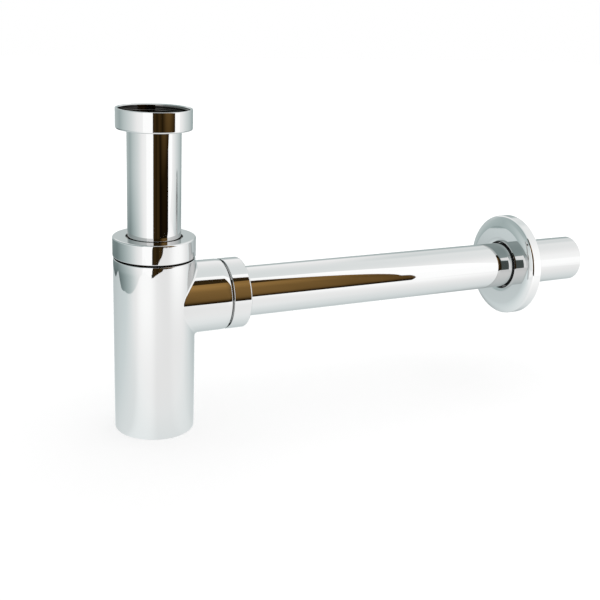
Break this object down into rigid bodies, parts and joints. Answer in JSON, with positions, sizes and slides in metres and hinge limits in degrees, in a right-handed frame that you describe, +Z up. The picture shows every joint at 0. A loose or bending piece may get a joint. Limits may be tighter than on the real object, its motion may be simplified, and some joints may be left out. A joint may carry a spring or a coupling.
{
  "type": "bottle trap",
  "caption": "Round chrome bottle trap: union nut on a dip tube, cup with side branch, slip nuts, straight outlet pipe and a round wall flange that slides on it.",
  "frame": {"origin": "on the inlet axis at the inner end of the inlet nut's thread, where the basin waste's tail seats", "axes": "+Z up out of the inlet nut's mouth, +X along the outlet pipe to the wall"},
  "size_m": [0.3526, 0.0716, 0.1997],
  "materials": {
    "chrome_plate": "polished chrome plate on brass",
    "sealing_rubber": "matt black moulded rubber",
    "slip_plastic": "natural white polyethylene"
  },
  "bodies": {
    "inlet_nut": {"inlet_nut": "chrome_plate", "inlet_washer": "sealing_rubber"},
    "inlet_tube": {"inlet_tube": "chrome_plate"},
    "trap_body": {"trap_body": "chrome_plate", "ring_cone_seal": "sealing_rubber", "outlet_cone_seal": "sealing_rubber"},
    "ring_slip_washer": {"ring_slip_washer": "slip_plastic"},
    "ring_nut": {"ring_nut": "chrome_plate"},
    "outlet_slip_washer": {"outlet_slip_washer": "slip_plastic"},
    "outlet_nut": {"outlet_nut": "chrome_plate"},
    "outlet_tube": {"outlet_tube": "chrome_plate"},
    "wall_flange": {"wall_flange": "chrome_plate", "flange_o_ring": "sealing_rubber"}
  },
  "joints": [
    {"name": "inlet_swivel", "type": "hinge", "parent": "inlet_nut", "child": "inlet_tube", "pos_m": [0, 0, 0], "axis": [0, 0, 1], "continuous": true},
    {"name": "body_slide", "type": "slide", "parent": "inlet_tube", "child": "trap_body", "axis": [0, 0, 1], "range_m": [-0.04, 0.01]},
    {"name": "ring_lift", "type": "slide", "parent": "trap_body", "child": "ring_slip_washer", "axis": [0, 0, 1], "range_m": [0, 0.006]},
    {"name": "ring_screw", "type": "hinge", "parent": "ring_slip_washer", "child": "ring_nut", "pos_m": [0, 0, -0.0755], "axis": [0, 0, 1], "range_deg": [0, 1440]},
    {"name": "outlet_lift", "type": "slide", "parent": "trap_body", "child": "outlet_slip_washer", "axis": [1, 0, 0], "range_m": [0, 0.006]},
    {"name": "outlet_screw", "type": "hinge", "parent": "outlet_slip_washer", "child": "outlet_nut", "pos_m": [0.0502, 0, -0.1105], "axis": [1, 0, 0], "range_deg": [0, 1440]},
    {"name": "outlet_slide", "type": "slide", "parent": "trap_body", "child": "outlet_tube", "axis": [1, 0, 0], "range_m": [-0.008, 0.012]},
    {"name": "flange_slide", "type": "slide", "parent": "outlet_tube", "child": "wall_flange", "axis": [1, 0, 0], "range_m": [-0.185, 0.05]}
  ],
  "couplings": [
    {"joint": "ring_lift", "follows": "ring_screw", "m_per_rad": 0.00023873},
    {"joint": "outlet_lift", "follows": "outlet_screw", "m_per_rad": 0.00023873}
  ]
}
